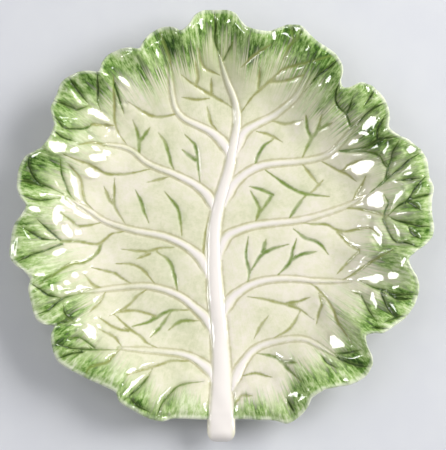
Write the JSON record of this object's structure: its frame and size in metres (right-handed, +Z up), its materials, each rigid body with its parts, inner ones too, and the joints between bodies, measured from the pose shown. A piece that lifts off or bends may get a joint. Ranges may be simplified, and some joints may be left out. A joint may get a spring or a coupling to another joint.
{
  "type": "leaf saucer",
  "caption": "Leaf-shaped saucer in glazed earthenware: ruffled lobed rim, shallow well, raised midrib running out into a stalk, side ribs, and a foot ring to stand on.",
  "frame": {"origin": "middle of the box in X and Y, on the plane that the foot ring stands on", "axes": "+Z up out of the well; +Y from the stalk to the leaf's top; +X to the right of the leaf seen from above with the stalk towards the viewer"},
  "size_m": [0.164, 0.1672, 0.0247],
  "materials": {
    "leaf_glaze": "glossy glaze, pale cream green in the well, painted green towards the rim",
    "rib_glaze": "glossy cream-white glaze",
    "bare_clay": "unglazed, matt"
  },
  "bodies": {
    "root": {"leaf_blade": "leaf_glaze", "midrib_stalk": "rib_glaze", "rib_left_1": "rib_glaze", "rib_left_2": "rib_glaze", "rib_left_3": "rib_glaze", "rib_left_4": "rib_glaze", "rib_left_5": "rib_glaze", "rib_right_1": "rib_glaze", "rib_right_2": "rib_glaze", "rib_right_3": "rib_glaze", "rib_right_4": "rib_glaze", "rib_right_5": "rib_glaze", "foot_ring": "bare_clay"}
  },
  "joints": []
}
